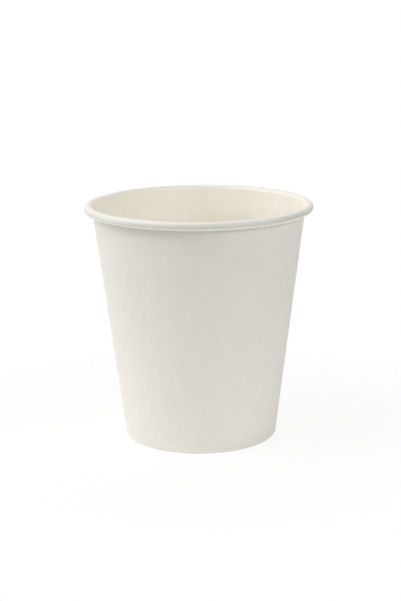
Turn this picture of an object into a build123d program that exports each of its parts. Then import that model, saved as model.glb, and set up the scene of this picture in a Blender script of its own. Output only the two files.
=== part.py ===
from build123d import *
import os
from math import acos, atan2, cos, degrees, sin, tan

# Single-wall paper cup with a rolled rim, made of two pieces of coated board.
# The side wall is one blank: wrapped into a cone and lapped on itself at the side seam,
# rolled outwards at the rim and folded under at the foot.
# The bottom is a round blank whose skirt is sealed between the wall and the folded hem.
# The origin is the centre of the foot on the table, and +Z is up.
# All sizes are in millimetres, and all turns in degrees.

# Overall sizes
rim_diameter = 80.0
cup_height = 83.5
foot_diameter = 54.0

# Side wall board, and its fold under the bottom's skirt
wall_board = 0.35
hem_height = 4.8
foot_bevel = 0.12

# Roll of the rim: its outer and inner half turns, and the tail that runs on inside it
curl_diameter = 3.1
curl_gap = 0.15
curl_tail_turn = 60.0
outer_half_steps = 5
inner_half_steps = 3

# Side seam, where the wrapped board laps over itself and jogs back down beside the lap.
# Its direction is counted from +X towards +Y.
seam_direction = 20.0
lap_width = 6.5
jog_width = 2.0
lap_above_table = 0.6
lap_below_top = 2.3

# Bottom board, and the glue line on both faces of its skirt
bottom_board = 0.30
bottom_recess = 6.0
shoulder_radius = 0.9
shoulder_steps = 1
skirt_above_table = 1.6
glue_line = 0.04

# The wall slopes so that its inner face runs straight into the outside of the roll
curl_radius = curl_diameter / 2
curl_centre = Vector(rim_diameter / 2 - curl_radius, cup_height - curl_radius)
foot_to_curl = curl_centre - Vector(foot_diameter / 2, 0)
wall_angle = acos((curl_radius - wall_board) / foot_to_curl.length) - atan2(foot_to_curl.Y, foot_to_curl.X)
square_to_wall = Vector(cos(wall_angle), -sin(wall_angle))


def in_wall(depth, height):
    """The section's point at this height and this deep behind the wall's outer face, square to it."""
    return Vector(foot_diameter / 2 + height * tan(wall_angle) - depth / cos(wall_angle), height)


def bend(centre, radius, start, turn, steps):
    """Points at even steps round a bend. The first lies from the centre in the direction start."""
    return [centre + start.rotate(Axis.Z, turn * step / steps) * radius for step in range(steps + 1)]


def board_section(middle_line, board):
    """The cut face of a board of even thickness, from the points of its middle line, mitred at bends."""
    runs = [(end - start).normalized() for start, end in zip(middle_line, middle_line[1:])]
    faces = []
    for side in (board / 2, -board / 2):
        face = []
        for point, arriving, leaving in zip(middle_line, runs[:1] + runs, runs + runs[-1:]):
            mitre = (arriving + leaving).normalized()
            face.append(point + mitre.rotate(Axis.Z, 90) * (side / mitre.dot(leaving)))
        faces.append(face)
    return Face(Wire.make_polygon(faces[0] + faces[1][::-1]))


def rolled_rim():
    """Middle line of the roll, from the top of the wall to the board's cut edge inside it.

    Each half turn is a round bend whose radius is smaller by half a board and half a gap than the
    last. Its centre moves outwards and back by as much, so the board never meets its own first turn.
    """
    radius = curl_radius - wall_board / 2
    draw_in = (wall_board + curl_gap) / 2
    moved_centre = curl_centre + square_to_wall * draw_in
    outer_half = bend(curl_centre, radius, -square_to_wall, -180, outer_half_steps)
    inner_half = bend(moved_centre, radius - draw_in, square_to_wall, -180, inner_half_steps)
    tail = bend(curl_centre, radius - 2 * draw_in, -square_to_wall, -curl_tail_turn, 1)
    return outer_half + inner_half[1:] + tail[1:]


def seam_bar(corners):
    """A bar along the wall at the side seam, from its corners as (distance round, depth) pairs.

    The distance is measured round the wall from the middle of the lap, and is the same at every
    height. A side between two corners of one depth follows the wall's roundness.
    """
    ends = []
    for height in (lap_above_table, cup_height - lap_below_top):
        radius = in_wall(0, height).X

        def place(around, depth):
            direction = seam_direction + degrees(around / radius)
            return Vector(in_wall(depth, height).X, 0, height).rotate(Axis.Z, direction)

        loop = []
        for (around, depth), (next_around, next_depth) in zip(corners, corners[1:] + corners[:1]):
            start, end = place(around, depth), place(next_around, next_depth)
            if depth == next_depth:
                loop.append(ThreePointArc(start, place((around + next_around) / 2, depth), end))
            else:
                loop.append(Line(start, end))
        ends.append(make_face(loop))
    return loft(ends, ruled=True)


def make_side_wall():
    """Hem, foot ring, sloping wall and rolled rim as one turned board, with the lap of its seam."""
    middle = wall_board / 2
    hem_depth = wall_board + bottom_board + 2 * glue_line + middle
    foot_fold = [in_wall(hem_depth, hem_height), in_wall(hem_depth, middle), in_wall(middle, middle)]
    section = board_section(foot_fold + rolled_rim(), wall_board)
    foot_corners = section.vertices().group_by(Axis.Y)[0]
    section = section.chamfer_2d(foot_bevel, foot_bevel, foot_corners)
    wall = revolve(Plane.XZ * section, Axis.Z, 360)

    # The jog's slope runs on past the wall's faces, so that lap and groove cut them cleanly
    cut_edge, lap_end = -lap_width / 2, lap_width / 2
    above, below, behind = -wall_board, wall_board / 2, wall_board * 3 / 2
    slope_end = lap_end + jog_width * (below - above) / wall_board
    lap = seam_bar([(cut_edge, above), (lap_end, above), (slope_end, below), (cut_edge, below)])
    groove = seam_bar([(lap_end, 0), (slope_end, behind), (lap_end, behind)])
    return wall + lap - groove


def make_bottom_disc():
    """Flat bottom with a round shoulder and a skirt that hangs between the wall and the hem."""
    middle = bottom_board / 2
    skirt_depth = wall_board + glue_line + middle
    level = bottom_recess + middle
    shoulder_centre = in_wall(skirt_depth + shoulder_radius, level - shoulder_radius)
    shoulder_turn = -90 - degrees(wall_angle)
    shoulder = bend(shoulder_centre, shoulder_radius, Vector(0, 1), shoulder_turn, shoulder_steps)
    middle_line = [Vector(0, level)] + shoulder + [in_wall(skirt_depth, skirt_above_table)]
    return revolve(Plane.XZ * board_section(middle_line, bottom_board), Axis.Z, 360)


os.makedirs("parts", exist_ok=True)
pieces = {"side_wall": make_side_wall(), "bottom_disc": make_bottom_disc()}
for name, piece in pieces.items():
    export_step(piece, f"parts/{name}.step")
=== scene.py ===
from math import acos, atan2, cos, pi, radians, sin, tan

import bpy
import numpy as np
from mathutils import Matrix, Vector


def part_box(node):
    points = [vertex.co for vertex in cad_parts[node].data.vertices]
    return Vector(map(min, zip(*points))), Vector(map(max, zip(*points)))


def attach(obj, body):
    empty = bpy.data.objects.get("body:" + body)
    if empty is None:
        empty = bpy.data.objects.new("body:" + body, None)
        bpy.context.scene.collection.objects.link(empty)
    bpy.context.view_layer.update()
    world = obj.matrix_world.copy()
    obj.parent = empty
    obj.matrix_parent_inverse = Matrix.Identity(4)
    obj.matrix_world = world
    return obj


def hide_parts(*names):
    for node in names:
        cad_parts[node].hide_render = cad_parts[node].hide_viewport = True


# A plain paper cup: its side wall and its bottom, each drawn as the folded board that it is.
# Every length is in metres, written as millimetres times mm, and every angle is in radians, apart
# from the directions of the softboxes. Two lengths in brackets are where something starts to come
# or go, and where it has fully come or gone.

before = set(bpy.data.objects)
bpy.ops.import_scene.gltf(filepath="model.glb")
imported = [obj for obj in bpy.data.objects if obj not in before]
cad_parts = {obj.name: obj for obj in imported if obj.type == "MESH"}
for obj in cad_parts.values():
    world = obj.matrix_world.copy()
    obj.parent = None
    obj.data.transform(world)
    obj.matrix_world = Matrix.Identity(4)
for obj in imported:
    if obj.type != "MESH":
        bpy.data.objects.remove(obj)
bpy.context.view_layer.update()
mm = 0.001

# Sizes of the cup. The rim and the height are those of the frame.
rim_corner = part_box("side_wall")[1]
rim_radius = rim_corner.x
cup_height = rim_corner.z
foot_radius = 27.0 * mm
wall_board = 0.35 * mm
bottom_board = 0.30 * mm
glue_line = 0.04 * mm

# Roll of the rim
curl_radius = 1.55 * mm
curl_gap = 0.15 * mm
curl_turn = radians(420)

# Foot: the fold's bends and the hem inside it. To seal the bottom in, a band is pressed round the
# outside up to the hem's height, and upright grooves into the hem, which leave ribs between them.
foot_bend = 0.30 * mm
hem_height = 4.8 * mm
band_press = 0.06 * mm
band_above_table = (0.3 * mm, 0.9 * mm)
band_fade = 0.7 * mm
grooves = 112
groove_depth = 0.10 * mm
groove_above_table = (0.9 * mm, 1.6 * mm)
groove_below_edge = (0.2 * mm, 0.9 * mm)

# Bottom: its level, the bend and skirt at its edge, the crown of its middle, and its small pleats,
# which come from inside the edge of its flat to outside it
bottom_recess = 6.0 * mm
shoulder_radius = 0.9 * mm
skirt_above_table = 1.6 * mm
bottom_crown = 0.15 * mm
pleats = 90
pleat_depth = 0.02 * mm
pleats_inside_edge = 1.0 * mm
pleats_outside_edge = 0.8 * mm

# Side seam: the lap, the jog down beside it, and where the board enters the lap. At foot and rim
# the lap is pressed to the thickness of one board: the press goes above the foot, and comes again
# below the rim.
seam_direction = radians(20)
lap_width = 6.5 * mm
jog_width = 2.0 * mm
lap_entry = 0.5 * mm
lap_glue = 0.02 * mm
foot_press_goes = (1.0 * mm, 3.6 * mm)
rim_press_comes = (79.6 * mm, 81.6 * mm)

# How far the board strays from a true cone: harmonics of its roundness as (waves, depth), and a
# cockle, which is a sum of finer waves. It has a depth, the most that a wave turns on its way up,
# and the shares of the height over which it comes, up from the foot and down from the rim.
out_of_round = ((2, 0.10 * mm), (3, 0.05 * mm), (5, 0.02 * mm))
fewest_waves, most_waves = 9, 33
waves_in_cockle = 12
cockle_depth = 0.10 * mm
cockle_twist = 3
cockle_up_from_foot = (0.05, 0.25)
cockle_down_from_rim = (0.985, 0.9)
stray_seed = 4

# Rows of points along the sections. The wall has three runs as (lowest, highest, rows), close at
# foot and rim. A straight run stops a little before the bend beside it, the skirt's first row is
# below the bottom's flat, and the flat's first row is a small ring round the hub at the centre.
hem_rows = 9
bend_rows = 7
wall_runs = ((0.9 * mm, 6.5 * mm, 9), (9.0 * mm, 77.0 * mm, 12), (78.0 * mm, 81.8 * mm, 6))
roll_rows = 36
flat_rows = 12
shoulder_rows = 12
skirt_rows = 5
bend_margin = 0.3 * mm
skirt_below_flat = 1.4 * mm
hub_radius = 1.5 * mm

# Stations round the cup: across the lap, down the jog, where the board enters the lap, and for each
# groove and pleat. A groove is pressed in at the middle two of its stations, counted from 0.
lap_stations = 8
jog_stations = 8
entry_stations = 3
stations_per_groove = 4
groove_stations = (1, 2)
stations_per_pleat = 4

# Finishes of a piece, by their number in its mesh, and the angle from which an edge is shaded sharp
bare_side, film_side, cut_side = 0, 1, 2
sharp_edge = radians(40)

# Sockets of a Mix node for colours, and the refractive indices of cellulose and polyethylene
mix_share, mix_from, mix_to, mixed_colour = 0, 6, 7, 2
cellulose_ior = 1.47
polyethylene_ior = 1.51

# Painted light on the roll, by the board's length from where the roll starts: a whiter painted highlight
# over its crest, then a greyer painted shade on its outer face, and under that the lighter film again as
# painted light from the table below
painted_crest_highlight = (1.0 * mm, 3.0 * mm)
painted_shade_comes = (2.6 * mm, 4.0 * mm)
painted_shade_goes = (4.3 * mm, 4.9 * mm)

# The photograph's camera, as it was fitted to the cup's outline. Sensor and lens are in millimetres
# without mm, and the shift is in shares of the frame's longer side.
view_distance = 507.2 * mm
view_elevation = radians(14.45)
view_roll = radians(-0.59)
sensor_width = 36
focal_length = 85.03
frame_shift = (0.00085, 0.0286)

# The table: how much of plain white the camera sees of it beside the cup, and the distances from
# the cup's axis over which the rest, its shading, goes
table_radius = 250 * mm
table_sides = 96
table_whiteness = 0.86
shadow_reach = (40 * mm, 140 * mm)

# Light: the backdrop's direction, the cosines of the angle to it over which it comes, and its
# radiance, and square softboxes as (name, azimuth and elevation in degrees, watts, colour)
backdrop_azimuth = radians(110)
backdrop_comes = (0.1, 0.6)
backdrop_light = 0.95
softbox_distance = 1200 * mm
softbox_side = 600 * mm
softboxes = (
    ("left_softbox", 180, 25, 4.3, "#F9FBFF"),
    ("left_front_softbox", 210, 50, 5.6, "#FCFEFF"),
    ("front_softbox", 300, 25, 3.7, "#FFFEF8"),
    ("right_front_softbox", 330, 25, 3.2, "#FAFDFF"),
    ("low_left_front_softbox", 240, 8, 1.6, "#FFF9F0"),
    ("low_right_softbox", 0, 16, 1.7, "#FAFBFF"),
)

# The section is drawn in complex numbers: the real part is the distance from the cup's axis and
# the imaginary part is the height, so that multiplying by e^(i turn) turns a direction.
# The wall slopes so that its inner face runs straight into the outside of the roll.
curl_centre = complex(rim_radius - curl_radius, cup_height - curl_radius)
to_curl = curl_centre - foot_radius
wall_angle = acos((curl_radius - wall_board) / abs(to_curl)) - atan2(to_curl.imag, to_curl.real)
outward = np.exp(-1j * wall_angle)


def in_wall(depth, height):
    """The section's point at a height and a depth behind the wall's outer face, square to it."""
    return foot_radius + height * (tan(wall_angle) + 1j) - depth / cos(wall_angle)


def arc(centre, radius, start, end, count):
    """Points centre + radius e^(i angle) at even steps of the angle, and their outward directions."""
    direction = np.exp(1j * np.linspace(start, end, count))
    return centre + radius * direction, direction


def smooth_step(value, start, end):
    """0 before the start, 1 past the end, and 3x^2 - 2x^3 at the share x of the way between them."""
    x = np.clip((value - start) / (end - start), 0, 1)
    return x * x * (3 - 2 * x)


def even_shares(count):
    """Shares 1 / count, 2 / count and so on up to 1."""
    return np.linspace(0, 1, count + 1)[1:]


def side_middle_line():
    """Middle line of the side wall's board, from the hem's cut edge to the end of the roll.

    Straight hem, two bends of the foot, straight wall, then the roll: half turn number n has the
    radius r - n d about a centre that moves outwards by d and back, where d is half a board and
    half a gap. Returns points and unit normals that point to the uncoated side.
    """
    middle = wall_board / 2
    hem_depth = wall_board + bottom_board + 2 * glue_line + middle
    level = middle + foot_bend
    hem = in_wall(hem_depth, np.linspace(hem_height, level + bend_margin, hem_rows))
    inner_bend, inner_normal = arc(
        in_wall(hem_depth - foot_bend, level), foot_bend, pi - wall_angle, 1.5 * pi, bend_rows)
    outer_bend, outer_normal = arc(
        in_wall(middle + foot_bend, level), foot_bend, 1.5 * pi, 2 * pi - wall_angle, bend_rows)
    wall = in_wall(middle, np.concatenate([np.linspace(*run) for run in wall_runs]))

    # The tiny amount keeps a count of half turns that is whole from being rounded to the one below
    tiny = 1e-9
    turn = np.linspace(0, curl_turn, roll_rows)
    half_turns = np.floor(turn / pi + tiny)
    draw_in = (wall_board + curl_gap) / 2
    ray = -outward * np.exp(-1j * turn)
    roll = (curl_centre + (half_turns % 2) * draw_in * outward
            + (curl_radius - middle - half_turns * draw_in) * ray)
    points = np.concatenate([hem, inner_bend, outer_bend, wall, roll])
    normals = np.concatenate([np.full(len(hem), -outward), inner_normal, outer_normal,
                              np.full(len(wall), outward), -ray])
    return points, normals


def bottom_middle_line():
    """Middle line of the bottom from near its centre to the skirt's cut edge: flat, bend, skirt.

    Returns points and unit normals that point to the coated side.
    """
    middle = bottom_board / 2
    level = bottom_recess + middle
    skirt_depth = wall_board + glue_line + middle
    shoulder_centre = in_wall(skirt_depth + shoulder_radius, level - shoulder_radius)
    shoulder, shoulder_normal = arc(shoulder_centre, shoulder_radius, pi / 2, -wall_angle, shoulder_rows)
    flat = np.linspace(hub_radius, shoulder_centre.real - bend_margin, flat_rows) + 1j * level
    skirt = in_wall(skirt_depth, np.linspace(level - skirt_below_flat, skirt_above_table, skirt_rows))
    points = np.concatenate([flat, shoulder, skirt])
    normals = np.concatenate([np.full(len(flat), 1j), shoulder_normal, np.full(len(skirt), outward)])
    return points, normals


def length_along(points):
    """The board's length from the section's first point to each point."""
    return np.concatenate([[0], np.cumsum(abs(np.diff(points)))])


def stray(section, angle):
    """How far a point of the side wall lies outside the true cone.

    A few harmonics of the roundness, depth height^2 cos(waves angle + phase), and a seeded sum of
    finer waves, depth / waves cos(waves angle + phase + twist height), that fade at foot and rim.
    Here height is a share of the cup's height.
    """
    share = section.imag / cup_height
    draw = np.random.default_rng(stray_seed)
    total = np.zeros(np.broadcast(section, angle).shape)
    for waves, depth in out_of_round:
        total += depth * share ** 2 * np.cos(waves * angle + draw.uniform(0, 2 * pi))
    fade = smooth_step(share, *cockle_up_from_foot) * smooth_step(share, *cockle_down_from_rim)
    for waves in draw.integers(fewest_waves, most_waves + 1, waves_in_cockle):
        phase = draw.uniform(0, 2 * pi)
        twist = draw.uniform(-cockle_twist, cockle_twist)
        total += fade * cockle_depth / waves * np.cos(waves * angle + phase + twist * share)
    return total


def turned(section, angle):
    """Points in space of section points turned about the cup's axis: (r cos a, r sin a, height)."""
    section, angle = np.broadcast_arrays(section, angle)
    return np.stack([section.real * np.cos(angle), section.real * np.sin(angle), section.imag], -1)


def quads(index):
    """Four-cornered faces between the neighbouring rows and columns of a grid of vertex numbers."""
    corners = [index[:-1, :-1], index[1:, :-1], index[1:, 1:], index[:-1, 1:]]
    return np.stack(corners, -1).reshape(-1, 4)


def build_piece(name, points, faces, finish_of_face, flat_of_point, finishes):
    """A mesh object from its points and faces, with a finish for each face.

    Its UV map is each point's place on the unfolded board, in metres.
    """
    mesh = bpy.data.meshes.new(name)
    mesh.from_pydata(points.reshape(-1, 3), [], faces)
    for finish in finishes:
        mesh.materials.append(finish)
    mesh.polygons.foreach_set("material_index", finish_of_face)
    corner = np.empty(len(mesh.loops), np.int32)
    mesh.loops.foreach_get("vertex_index", corner)
    flat_map = mesh.uv_layers.new(name="flat_board")
    flat_map.data.foreach_set("uv", flat_of_point.reshape(-1, 2)[corner].ravel())
    mesh.shade_smooth()
    mesh.set_sharp_from_angle(angle=sharp_edge)
    piece = bpy.data.objects.new(name, mesh)
    bpy.context.scene.collection.objects.link(piece)
    return piece


def make_side_wall(finishes):
    """The wrapped blank: its section loop is carried round the cup once, plus the seam's lap.

    A station is a distance round from the outer cut edge. It is near + share (2 pi r - margin), so
    that the lap and the jog keep their width at every height. Angle = distance / r. The lap's outer
    layer is lifted by one board and its glue, and comes down beside it as a smooth step. Where the
    lap is pressed, in foot and rim, both layers are half as thick and share one board's thickness.
    """
    points, normals = side_middle_line()
    rows = len(points)
    radius, height = points.real, points.imag
    margin = lap_width + jog_width + lap_entry
    lap = np.linspace(0, lap_width, lap_stations)
    jog = lap_width + jog_width * even_shares(jog_stations)
    once_round = even_shares(grooves * stations_per_groove)
    entry = lap_width + jog_width + lap_entry * even_shares(entry_stations)
    near = np.concatenate([lap, jog, np.full(len(once_round), jog[-1]), entry, margin + lap[1:]])
    before = np.zeros(len(lap) + len(jog))
    after = np.ones(len(entry) + len(lap) - 1)
    share = np.concatenate([before, once_round, after])
    around = near[:, None] + share[:, None] * (2 * pi * radius - margin)
    angle = seam_direction + (around - lap_width / 2) / radius

    outer_layer = 1 - smooth_step(near, lap_width, lap_width + jog_width)[:, None]
    inner_layer = smooth_step(near, lap_width + jog_width, margin)[:, None]
    pressed = 1 - smooth_step(height, *foot_press_goes) * (1 - smooth_step(height, *rim_press_comes))
    quarter = wall_board / 4
    lift = (outer_layer * ((1 - pressed) * (wall_board + lap_glue) + pressed * quarter)
            - inner_layer * pressed * quarter)
    half_board = wall_board / 2 - (outer_layer + inner_layer) * pressed * (quarter + lap_glue / 2)

    # Band and grooves are pressed into the board from its uncoated side
    on_hem = np.arange(rows) < hem_rows
    band = ~on_hem * smooth_step(height, *band_above_table) * (
        1 - smooth_step(height, hem_height - band_fade, hem_height))
    in_groove = np.isin(np.arange(len(once_round)) % stations_per_groove, groove_stations)
    groove = np.concatenate([np.zeros(len(before)), in_groove, np.zeros(len(after))])[:, None]
    groove_fade = on_hem * smooth_step(height, *groove_above_table) * smooth_step(
        hem_height - height, *groove_below_edge)
    press = band_press * band + groove_depth * groove * groove_fade

    away = outward * stray(points, angle)
    uncoated_face = points + normals * (lift + half_board - press) + away
    coated_face = points + normals * (lift - half_board) + away
    surface = np.concatenate([turned(uncoated_face, angle), turned(coated_face, angle)[:, ::-1]], 1)
    flat = np.stack(np.broadcast_arrays(around, length_along(points)), -1)
    flat = np.concatenate([flat, flat[:, ::-1]], 1)

    index = np.arange(len(near) * 2 * rows).reshape(len(near), 2 * rows)
    skin = quads(np.hstack([index, index[:, :1]]))
    across_board = np.stack([index[:, :rows], index[:, rows:][:, ::-1]], -1)
    outer_end = quads(across_board[0])
    inner_end = quads(across_board[-1])[:, ::-1]
    faces = np.concatenate([skin, outer_end, inner_end])
    loop = np.repeat([bare_side, cut_side, film_side, cut_side], [rows - 1, 1, rows - 1, 1])
    ends = np.full(len(outer_end) + len(inner_end), cut_side)
    finish = np.concatenate([np.tile(loop, len(near) - 1), ends])
    return build_piece("wrapped_side_wall", surface, faces.tolist(), finish, flat, finishes)


def make_bottom(finishes):
    """The bottom: its section loop turned about the axis, with a fan of triangles at each centre.

    The middle rises by crown (1 - (r / edge)^2)^2. Shoulder and skirt are thinner on both faces by
    pleat (1 + cos(pleats angle)) / 2.
    """
    points, normals = bottom_middle_line()
    rows = len(points)
    edge = points[flat_rows - 1].real
    crown = bottom_crown * np.clip(1 - (points.real / edge) ** 2, 0, 1) ** 2
    points = points + 1j * crown
    angle = np.linspace(0, 2 * pi, stations_per_pleat * pleats, endpoint=False)[:, None]
    pleat = pleat_depth * smooth_step(points.real, edge - pleats_inside_edge, edge + pleats_outside_edge)
    half_board = bottom_board / 2 - pleat * (1 + np.cos(pleats * angle)) / 2
    upper_face = turned(points + normals * half_board, angle)
    lower_face = turned(points - normals * half_board, angle)
    flat = turned(points[0].real + length_along(points) + 0j, angle)[..., :2]

    level = bottom_recess + bottom_board / 2 + bottom_crown
    hubs = np.array([[0, 0, level + bottom_board / 2], [0, 0, level - bottom_board / 2]])
    surface = np.concatenate([upper_face, lower_face[:, ::-1]], 1).reshape(-1, 3)
    surface = np.concatenate([surface, hubs])
    flat = np.concatenate([flat, flat[:, ::-1]], 1).reshape(-1, 2)
    flat = np.concatenate([flat, np.zeros((len(hubs), 2))])

    index = np.arange(len(angle) * 2 * rows).reshape(len(angle), 2 * rows)
    closed = np.vstack([index, index[:1]])
    skin = quads(closed)[:, ::-1]
    upper_hub = np.full(len(angle), index.size)
    lower_hub = upper_hub + 1
    upper_ring, lower_ring = closed[:, 0], closed[:, -1]
    upper_fan = np.stack([upper_hub, upper_ring[:-1], upper_ring[1:]], -1)
    lower_fan = np.stack([lower_hub, lower_ring[1:], lower_ring[:-1]], -1)
    faces = skin.tolist() + upper_fan.tolist() + lower_fan.tolist()
    loop = np.repeat([film_side, cut_side, bare_side], [rows - 1, 1, rows - 1])
    fans = np.repeat([film_side, bare_side], len(angle))
    finish = np.concatenate([np.tile(loop, len(angle)), fans])
    return build_piece("pressed_bottom", surface, faces, finish, flat, finishes)


def linear(hex_colour):
    """The linear colour of an sRGB hex value, with alpha 1.

    A channel c above 0.04045 becomes ((c + 0.055) / 1.055)^2.4, and one below it c / 12.92.
    """
    channels = [int(hex_colour[at:at + 2], 16) / 255 for at in (1, 3, 5)]
    return (*[((c + 0.055) / 1.055) ** 2.4 if c > 0.04045 else c / 12.92 for c in channels], 1)


def add(tree, kind, inputs=(), **settings):
    """Adds a node, makes its settings, and fills each input with a value or a link to a socket."""
    node = tree.nodes.new(kind)
    for setting, value in settings.items():
        setattr(node, setting, value)
    for socket, value in dict(inputs).items():
        if isinstance(value, bpy.types.NodeSocket):
            tree.links.new(value, node.inputs[socket])
        else:
            node.inputs[socket].default_value = value
    return node


def new_material(name):
    """An empty node material, returned with its node tree."""
    material = bpy.data.materials.new(name)
    material.use_nodes = True
    material.node_tree.nodes.clear()
    return material, material.node_tree


def uncoated_cupboard():
    """Bleached sulphate paperboard, calendered but uncoated: the outside of the cup.

    To the eye it is a matte warm white, faintly cloudy where the pulp settled unevenly, with short
    fibres that lie mostly up the cup and catch the light at a low angle. A real fibre is 0.03 mm
    wide. They are drawn about eight times as wide, as bundles, so that they show.
    """
    # Lays of fibres are (turn, width, length). Thin and thick are values of clouds and felt together.
    cloud_size = 3.2 * mm
    fibre_lays = ((0.2, 0.22 * mm, 1.3 * mm), (-0.5, 0.3 * mm, 1.0 * mm))
    felt_share = 0.35
    thin, thick = 0.6, 1.1
    felt_depth = 0.012 * mm
    material, tree = new_material("uncoated_bleached_paperboard")
    place = add(tree, "ShaderNodeTexCoord")
    cloud = add(tree, "ShaderNodeTexNoise", {
        "Vector": place.outputs["Object"], "Scale": 1 / cloud_size, "Detail": 3.0, "Roughness": 0.55})
    fibres = []
    for turn, width, length in fibre_lays:
        lay = add(tree, "ShaderNodeMapping", {
            "Vector": place.outputs["UV"], "Rotation": (0, 0, turn), "Scale": (1 / width, 1 / length, 1)})
        fibre = add(tree, "ShaderNodeTexNoise", {
            "Vector": lay.outputs[0], "Scale": 1.0, "Detail": 2.0, "Distortion": 0.6})
        fibres.append(fibre.outputs[0])
    felt = add(tree, "ShaderNodeMath", {0: fibres[0], 1: fibres[1]}, operation="ADD")
    thickness = add(tree, "ShaderNodeMath", {0: felt.outputs[0], 1: felt_share, 2: cloud.outputs[0]},
                    operation="MULTIPLY_ADD")
    tone = add(tree, "ShaderNodeMapRange", {
        "Value": thickness.outputs[0], "From Min": thin, "From Max": thick})
    colour = add(tree, "ShaderNodeMix", {
        mix_share: tone.outputs[0], mix_from: linear("#E6E2DB"), mix_to: linear("#E9E5DE")},
        data_type="RGBA")
    rough = add(tree, "ShaderNodeMapRange", {
        "Value": thickness.outputs[0], "From Min": thin, "From Max": thick,
        "To Min": 0.92, "To Max": 0.84})
    relief = add(tree, "ShaderNodeBump", {
        "Height": felt.outputs[0], "Strength": 1.0, "Distance": felt_depth})
    shader = add(tree, "ShaderNodeBsdfPrincipled", {
        "Base Color": colour.outputs[mixed_colour], "Roughness": rough.outputs[0],
        "IOR": cellulose_ior, "Specular IOR Level": 0.35, "Normal": relief.outputs[0]})
    add(tree, "ShaderNodeOutputMaterial", {"Surface": shader.outputs[0]})
    return material


def film_coated_cupboard(roll_start):
    """The same board under a thin extruded polyethylene film: the drink's side and the roll.

    To the eye it is creamier and smoother, with a soft satin light on every bend, and the felt of the
    fibres only prints through. On the roll a whiter colour is a painted highlight over the crest, a greyer
    colour is painted shade on the outer face, and the lighter film below that is painted light from the
    table.
    """
    # Thin and thick are values of the clouds.
    cloud_size = 3.6 * mm
    print_size = 0.7 * mm
    thin, thick = 0.3, 0.7
    print_depth = 0.004 * mm
    tones_of_film = (linear("#F7F2E6"), linear("#F9F5EA"))
    # Tones of the painted highlight on the roll's crest, and of the painted shade on its outer face
    tones_of_painted_highlight = (linear("#F4F2EA"), linear("#F7F5ED"))
    tones_of_painted_shade = (linear("#D8D7D2"), linear("#DEDDD8"))
    material, tree = new_material("film_coated_paperboard")
    place = add(tree, "ShaderNodeTexCoord")
    cloud = add(tree, "ShaderNodeTexNoise", {
        "Vector": place.outputs["Object"], "Scale": 1 / cloud_size, "Detail": 3.0, "Roughness": 0.5})
    print_through = add(tree, "ShaderNodeTexNoise", {
        "Vector": place.outputs["Object"], "Scale": 1 / print_size, "Detail": 2.0})
    tone = add(tree, "ShaderNodeMapRange", {
        "Value": cloud.outputs[0], "From Min": thin, "From Max": thick})
    clouded = []
    for dark, light in (tones_of_film, tones_of_painted_highlight, tones_of_painted_shade):
        mixed = add(tree, "ShaderNodeMix", {
            mix_share: tone.outputs[0], mix_from: dark, mix_to: light}, data_type="RGBA")
        clouded.append(mixed.outputs[mixed_colour])
    film, painted_highlight, painted_shade = clouded

    # The UV map's second axis is the length along the board, from the hem up and round the roll
    blank = add(tree, "ShaderNodeSeparateXYZ", {0: place.outputs["UV"]})
    coming = []
    for start, end in (painted_crest_highlight, painted_shade_comes, painted_shade_goes):
        step = add(tree, "ShaderNodeMapRange", {
            "Value": blank.outputs["Y"], "From Min": roll_start + start, "From Max": roll_start + end},
            interpolation_type="SMOOTHSTEP")
        coming.append(step.outputs[0])
    highlight_share, shade_comes_share, shade_goes_share = coming
    # Painted light on the roll: the highlight whitens the crest, and the painted shade greys the outer face
    highlighted = add(tree, "ShaderNodeMix", {
        mix_share: highlight_share, mix_from: film, mix_to: painted_highlight}, data_type="RGBA")
    # Past the painted shade's end the roll's underside keeps the lighter film, as painted light from the
    # table below
    shade_stays = add(tree, "ShaderNodeMath", {0: 1.0, 1: shade_goes_share}, operation="SUBTRACT")
    painted_shade_share = add(tree, "ShaderNodeMath", {0: shade_comes_share, 1: shade_stays.outputs[0]}, operation="MULTIPLY")
    colour = add(tree, "ShaderNodeMix", {
        mix_share: painted_shade_share.outputs[0], mix_from: highlighted.outputs[mixed_colour], mix_to: painted_shade},
        data_type="RGBA")
    rough = add(tree, "ShaderNodeMapRange", {
        "Value": cloud.outputs[0], "From Min": thin, "From Max": thick, "To Min": 0.38, "To Max": 0.32})
    relief = add(tree, "ShaderNodeBump", {
        "Height": print_through.outputs[0], "Strength": 1.0, "Distance": print_depth})
    shader = add(tree, "ShaderNodeBsdfPrincipled", {
        "Base Color": colour.outputs[mixed_colour], "Roughness": rough.outputs[0],
        "IOR": polyethylene_ior, "Normal": relief.outputs[0]})
    add(tree, "ShaderNodeOutputMaterial", {"Surface": shader.outputs[0]})
    return material


def die_cut_edge():
    """The board's cut edge, sheared by a die. To the eye it is bare fibre, matte and a shade darker."""
    fray_size = 0.25 * mm
    fray_depth = 0.03 * mm
    material, tree = new_material("die_cut_board_edge")
    place = add(tree, "ShaderNodeTexCoord")
    fray = add(tree, "ShaderNodeTexNoise", {
        "Vector": place.outputs["Object"], "Scale": 1 / fray_size, "Detail": 3.0})
    colour = add(tree, "ShaderNodeMix", {
        mix_share: fray.outputs[0], mix_from: linear("#CFC8BA"), mix_to: linear("#E8E3D8")},
        data_type="RGBA")
    relief = add(tree, "ShaderNodeBump", {
        "Height": fray.outputs[0], "Strength": 1.0, "Distance": fray_depth})
    shader = add(tree, "ShaderNodeBsdfPrincipled", {
        "Base Color": colour.outputs[mixed_colour], "Roughness": 0.95, "IOR": cellulose_ior,
        "Normal": relief.outputs[0]})
    add(tree, "ShaderNodeOutputMaterial", {"Surface": shader.outputs[0]})
    return material


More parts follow.
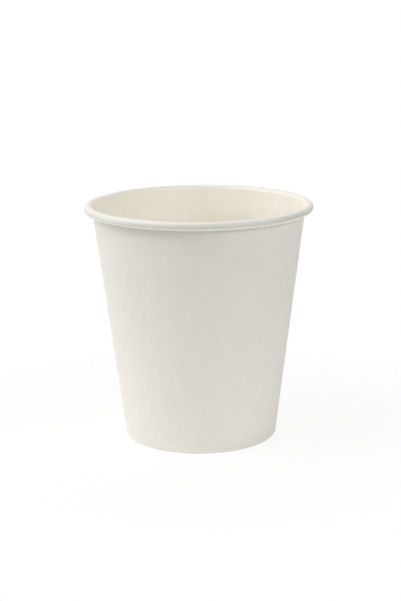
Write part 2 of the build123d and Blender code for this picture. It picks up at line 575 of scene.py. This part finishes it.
def white_table():
    """Matte white laminate, which lights the cup from below as a real table does.

    The camera and mirrors see it nearly as plain white: beside the cup with a small part of its
    shading and of the cup's shadow, and further off with none.
    """
    material, tree = new_material("matte_white_table")
    rays = add(tree, "ShaderNodeLightPath")
    mirrored = add(tree, "ShaderNodeMath", {
        0: rays.outputs["Is Glossy Ray"], 1: rays.outputs["Is Transmission Ray"]}, operation="ADD")
    seen = add(tree, "ShaderNodeMath", {
        0: rays.outputs["Is Camera Ray"], 1: mirrored.outputs[0]}, operation="ADD")
    place = add(tree, "ShaderNodeTexCoord")
    away = add(tree, "ShaderNodeVectorMath", {0: place.outputs["Object"]}, operation="LENGTH")
    whiteness = add(tree, "ShaderNodeMapRange", {
        "Value": away.outputs["Value"], "From Min": shadow_reach[0], "From Max": shadow_reach[1],
        "To Min": table_whiteness, "To Max": 1.0}, interpolation_type="SMOOTHSTEP")
    share = add(tree, "ShaderNodeMath", {0: seen.outputs[0], 1: whiteness.outputs[0]},
                operation="MULTIPLY")
    lit = add(tree, "ShaderNodeBsdfDiffuse", {"Color": linear("#FDFDFC")})
    white = add(tree, "ShaderNodeEmission", {"Color": linear("#FFFFFF"), "Strength": 1.0})
    surface = add(tree, "ShaderNodeMixShader", {0: share.outputs[0], 1: lit.outputs[0], 2: white.outputs[0]})
    add(tree, "ShaderNodeOutputMaterial", {"Surface": surface.outputs[0]})
    return material


def make_table():
    """A round table top: two rings of points (r cos a, r sin a, 0), the inner one filled by one face."""
    angle = np.linspace(0, 2 * pi, table_sides, endpoint=False)[:, None]
    rings = turned(np.array([table_radius / 2, table_radius]) + 0j, angle)
    index = np.arange(table_sides * 2).reshape(-1, 2)
    skin = quads(np.vstack([index, index[:1]]))[:, ::-1]
    mesh = bpy.data.meshes.new("table_top")
    mesh.from_pydata(rings.reshape(-1, 3), [], [index[:, 0].tolist()] + skin.tolist())
    mesh.materials.append(white_table())
    table = bpy.data.objects.new("table_top", mesh)
    bpy.context.scene.collection.objects.link(table)
    return table


def make_surroundings():
    """The world: white to the camera, and a white backdrop behind the cup in a room without light.

    The backdrop lights the cup from its own side, and mirrors see it as plain white.
    """
    world = bpy.data.worlds.new("studio")
    bpy.context.scene.world = world
    world.use_nodes = True
    tree = world.node_tree
    tree.nodes.clear()
    rays = add(tree, "ShaderNodeLightPath")
    place = add(tree, "ShaderNodeTexCoord")
    middle = (cos(backdrop_azimuth), sin(backdrop_azimuth), 0)
    towards = add(tree, "ShaderNodeVectorMath", {0: place.outputs["Generated"], 1: middle},
                  operation="DOT_PRODUCT")
    backdrop = add(tree, "ShaderNodeMapRange", {
        "Value": towards.outputs["Value"], "From Min": backdrop_comes[0], "From Max": backdrop_comes[1]},
        interpolation_type="SMOOTHSTEP")
    mirrored = add(tree, "ShaderNodeMath", {
        0: rays.outputs["Is Glossy Ray"], 1: rays.outputs["Is Transmission Ray"]}, operation="ADD")
    seen = add(tree, "ShaderNodeMath", {
        0: backdrop.outputs[0], 1: mirrored.outputs[0], 2: rays.outputs["Is Camera Ray"]},
        operation="MULTIPLY_ADD")
    lighting = add(tree, "ShaderNodeMath", {0: backdrop.outputs[0], 1: backdrop_light},
                   operation="MULTIPLY")
    room = add(tree, "ShaderNodeBackground", {"Color": linear("#FFFFFF"), "Strength": lighting.outputs[0]})
    white = add(tree, "ShaderNodeBackground", {"Color": linear("#FFFFFF"), "Strength": 1.0})
    surface = add(tree, "ShaderNodeMixShader", {0: seen.outputs[0], 1: room.outputs[0], 2: white.outputs[0]})
    add(tree, "ShaderNodeOutputWorld", {"Surface": surface.outputs[0]})


def make_softbox(name, azimuth, elevation, power, colour):
    """A square lamp that faces the cup's middle. Azimuth counts from +X towards +Y."""
    lamp = bpy.data.lights.new(name, "AREA")
    lamp.size = softbox_side
    lamp.energy = power
    lamp.color = linear(colour)[:3]
    softbox = bpy.data.objects.new(name, lamp)
    around, up = radians(azimuth), radians(elevation)
    ray = Vector((cos(up) * cos(around), cos(up) * sin(around), sin(up)))
    softbox.location = Vector((0, 0, cup_height / 2)) + ray * softbox_distance
    softbox.rotation_euler = ray.to_track_quat("Z", "Y").to_euler()
    bpy.context.scene.collection.objects.link(softbox)


def make_camera():
    """The photograph's view: a long lens, a little above the rim, turned by a fraction of a degree."""
    lens = bpy.data.cameras.new("camera")
    lens.sensor_width = sensor_width
    lens.lens = focal_length
    lens.shift_x, lens.shift_y = frame_shift
    camera = bpy.data.objects.new("camera", lens)
    ray = Vector((0, -cos(view_elevation), sin(view_elevation)))
    camera.location = Vector((0, 0, cup_height / 2)) + ray * view_distance
    facing = ray.to_track_quat("Z", "Y").to_matrix()
    camera.rotation_euler = (facing @ Matrix.Rotation(view_roll, 3, "Z")).to_euler()
    bpy.context.scene.collection.objects.link(camera)
    bpy.context.scene.camera = camera


make_camera()
board_length = length_along(side_middle_line()[0])
roll_start = board_length[-roll_rows]
finishes = [uncoated_cupboard(), film_coated_cupboard(roll_start), die_cut_edge()]
for piece, node, slot in (
        (make_side_wall(finishes), "side_wall", "cup_board"),
        (make_bottom(finishes), "bottom_disc", "bottom_board")):
    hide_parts(node)
    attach(piece, "root")

make_table()
make_surroundings()
for softbox in softboxes:
    make_softbox(*softbox)
bpy.context.scene.view_settings.view_transform = "Standard"
